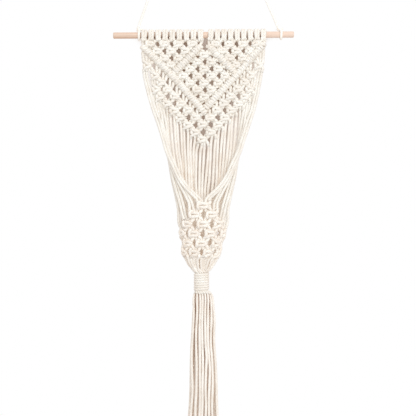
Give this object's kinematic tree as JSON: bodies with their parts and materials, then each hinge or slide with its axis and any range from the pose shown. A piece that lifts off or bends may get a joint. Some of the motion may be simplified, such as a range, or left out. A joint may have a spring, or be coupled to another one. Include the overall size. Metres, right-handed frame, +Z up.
{
  "type": "macrame wall hanging on a wooden dowel",
  "caption": "Knotted cotton cord wall hanging on a wooden dowel, with a netted pocket for a small pot and a long tassel under its gathering knot.",
  "frame": {"origin": "the point on the wall hook where the hanging cord rests, under the crown of the cord's bend", "axes": "+X to the viewer's right along the dowel, +Y into the wall, +Z up"},
  "size_m": [0.29, 0.0486, 1.004],
  "materials": {
    "wood": "bare sanded wood",
    "cord": "natural twisted cotton cord",
    "thin_cord": "natural twisted cotton cord, thinner"
  },
  "bodies": {
    "root": {"dowel": "wood", "hanging_cord": "thin_cord", "left_hitch": "thin_cord", "right_hitch": "thin_cord", "left_mounting_knots": "cord", "right_mounting_knots": "cord", "knotted_panel": "cord", "back_cords": "cord", "left_side_cords": "cord", "right_side_cords": "cord", "pocket_net": "cord", "gathering_knot": "cord", "tassel": "cord"}
  },
  "joints": []
}
